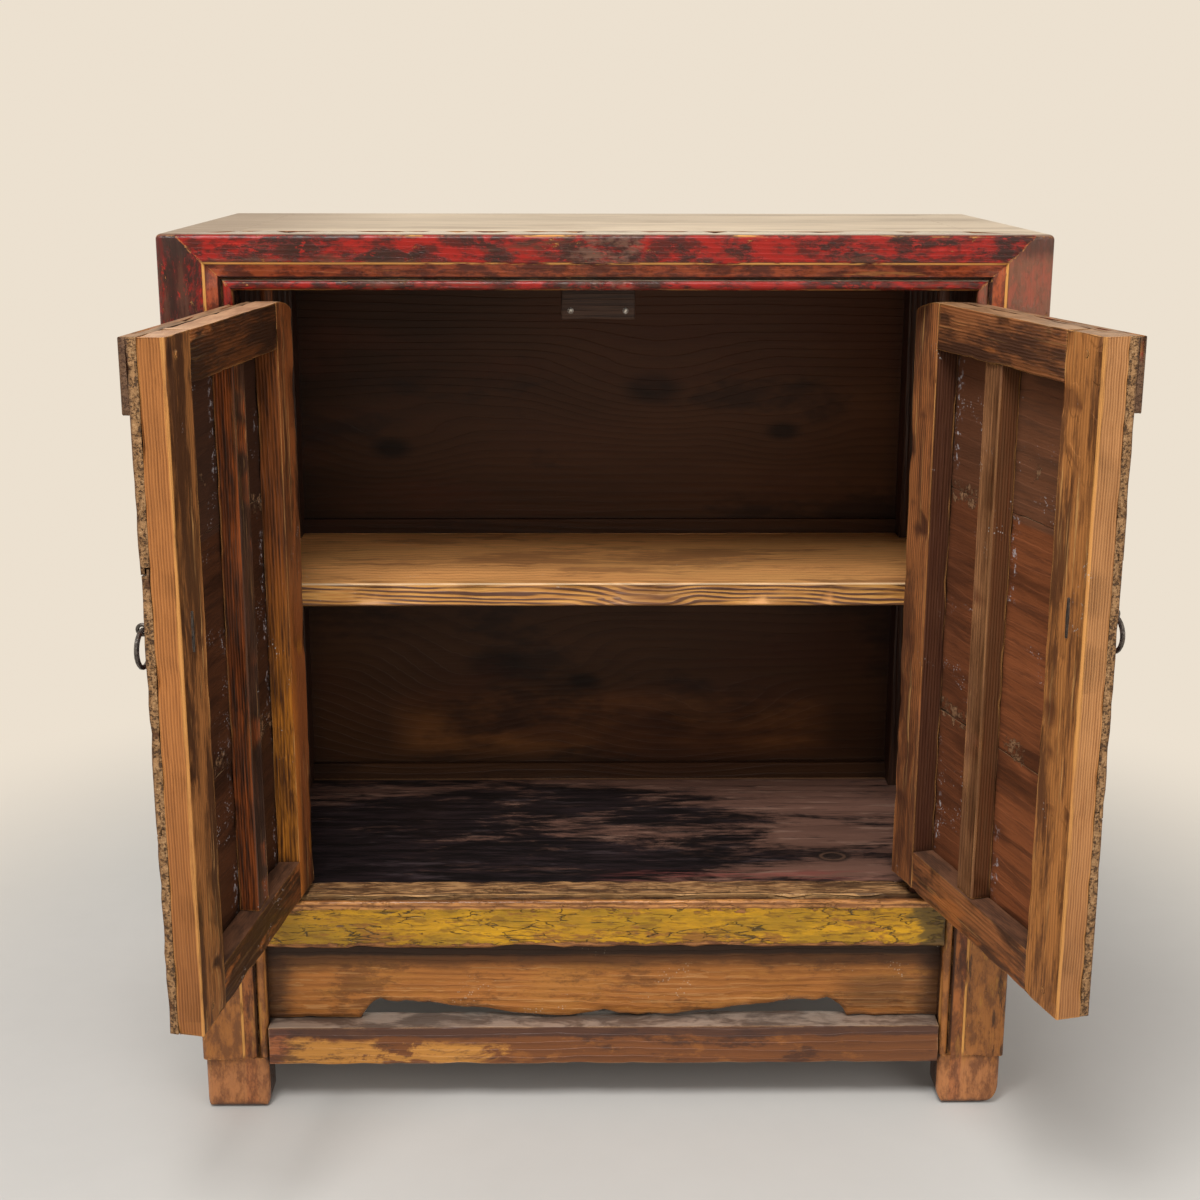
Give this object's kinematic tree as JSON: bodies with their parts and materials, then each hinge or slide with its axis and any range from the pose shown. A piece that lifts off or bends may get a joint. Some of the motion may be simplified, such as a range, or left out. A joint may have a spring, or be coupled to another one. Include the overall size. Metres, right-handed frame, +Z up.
{
  "type": "kang cabinet",
  "caption": "Low lacquered wooden cabinet with mitred moulded frame, hinged board doors on wooden pivots, ring pulls, inner shelf and scalloped apron over a stretcher.",
  "frame": {"origin": "on the floor, under the middle of the case without its doors", "axes": "+Z up, +X to the right of someone who faces the doors, +Y from the front to the back"},
  "size_m": [0.8311, 0.6884, 0.884],
  "materials": {
    "front_post_lacquer": "worn red and brown lacquer over softwood",
    "red_lacquer": "worn dark red lacquer",
    "yellow_lacquer": "crazed mustard lacquer with worn edges",
    "apron_lacquer": "worn brown lacquer",
    "stretcher_wood": "worn waxed softwood",
    "top_lacquer": "glossy worn brown lacquer",
    "side_lacquer": "worn dark red-brown lacquer",
    "back_wood": "dark waxed softwood",
    "floor_wood": "dark lacquer, worn",
    "shelf_wood": "waxed softwood, bold grain",
    "inner_wood": "dark waxed softwood",
    "door_boards": "worn red-brown lacquer outside, dark wax inside",
    "door_frame_wood": "dark waxed softwood",
    "iron": "dark forged iron"
  },
  "bodies": {
    "case": {"apron": "apron_lacquer", "back_bottom_rail": "back_wood", "back_mid_rail": "back_wood", "back_stretcher": "stretcher_wood", "back_top_rail": "top_lacquer", "bottom_batten": "inner_wood", "bottom_panel": "floor_wood", "door_stop_block": "inner_wood", "door_stop_nails": "iron", "front_sill": "yellow_lacquer", "front_stretcher": "stretcher_wood", "front_top_rail": "red_lacquer", "left_back_post": "side_lacquer", "left_bottom_rail": "side_lacquer", "left_front_post": "front_post_lacquer", "left_shelf_bearer": "inner_wood", "left_side_panel": "side_lacquer", "left_stretcher": "stretcher_wood", "left_top_batten": "inner_wood", "left_top_rail": "top_lacquer", "lower_back_panel": "back_wood", "right_back_post": "side_lacquer", "right_bottom_rail": "side_lacquer", "right_front_post": "front_post_lacquer", "right_shelf_bearer": "inner_wood", "right_side_panel": "side_lacquer", "right_stretcher": "stretcher_wood", "right_top_batten": "inner_wood", "right_top_rail": "top_lacquer", "shelf": "shelf_wood", "top_panel": "top_lacquer", "upper_back_panel": "back_wood"},
    "left_door": {"left_door_band_board": "door_boards", "left_door_bottom_rail": "door_frame_wood", "left_door_hinge_stile": "door_frame_wood", "left_door_lower_board": "door_boards", "left_door_meeting_stile": "door_frame_wood", "left_door_middle_board": "door_boards", "left_door_muntin": "door_frame_wood", "left_door_pegs": "door_frame_wood", "left_door_split_pin": "iron", "left_door_top_rail": "door_frame_wood", "left_door_upper_board": "door_boards"},
    "left_ring": {"left_door_pull_ring": "iron"},
    "right_door": {"right_door_band_board": "door_boards", "right_door_bottom_rail": "door_frame_wood", "right_door_hinge_stile": "door_frame_wood", "right_door_lower_board": "door_boards", "right_door_meeting_stile": "door_frame_wood", "right_door_middle_board": "door_boards", "right_door_muntin": "door_frame_wood", "right_door_pegs": "door_frame_wood", "right_door_split_pin": "iron", "right_door_top_rail": "door_frame_wood", "right_door_upper_board": "door_boards"},
    "right_ring": {"right_door_pull_ring": "iron"}
  },
  "joints": [
    {"name": "left_door_hinge", "type": "hinge", "parent": "case", "child": "left_door", "pos_m": [-0.3155, -0.1725, 0.53], "axis": [0, 0, 1], "range_deg": [-17, 98]},
    {"name": "right_door_hinge", "type": "hinge", "parent": "case", "child": "right_door", "pos_m": [0.3155, -0.1725, 0.53], "axis": [0, 0, 1], "range_deg": [-105, 10]},
    {"name": "left_ring_swing", "type": "hinge", "parent": "left_door", "child": "left_ring", "pos_m": [-0.38097, -0.45514, 0.5816], "axis": [0.1392, 0.9903, 0], "range_deg": [-16, 196]},
    {"name": "right_ring_swing", "type": "hinge", "parent": "right_door", "child": "right_ring", "pos_m": [0.41493, -0.44505, 0.5906], "axis": [0.2588, -0.9659, 0], "range_deg": [-16, 196]}
  ]
}
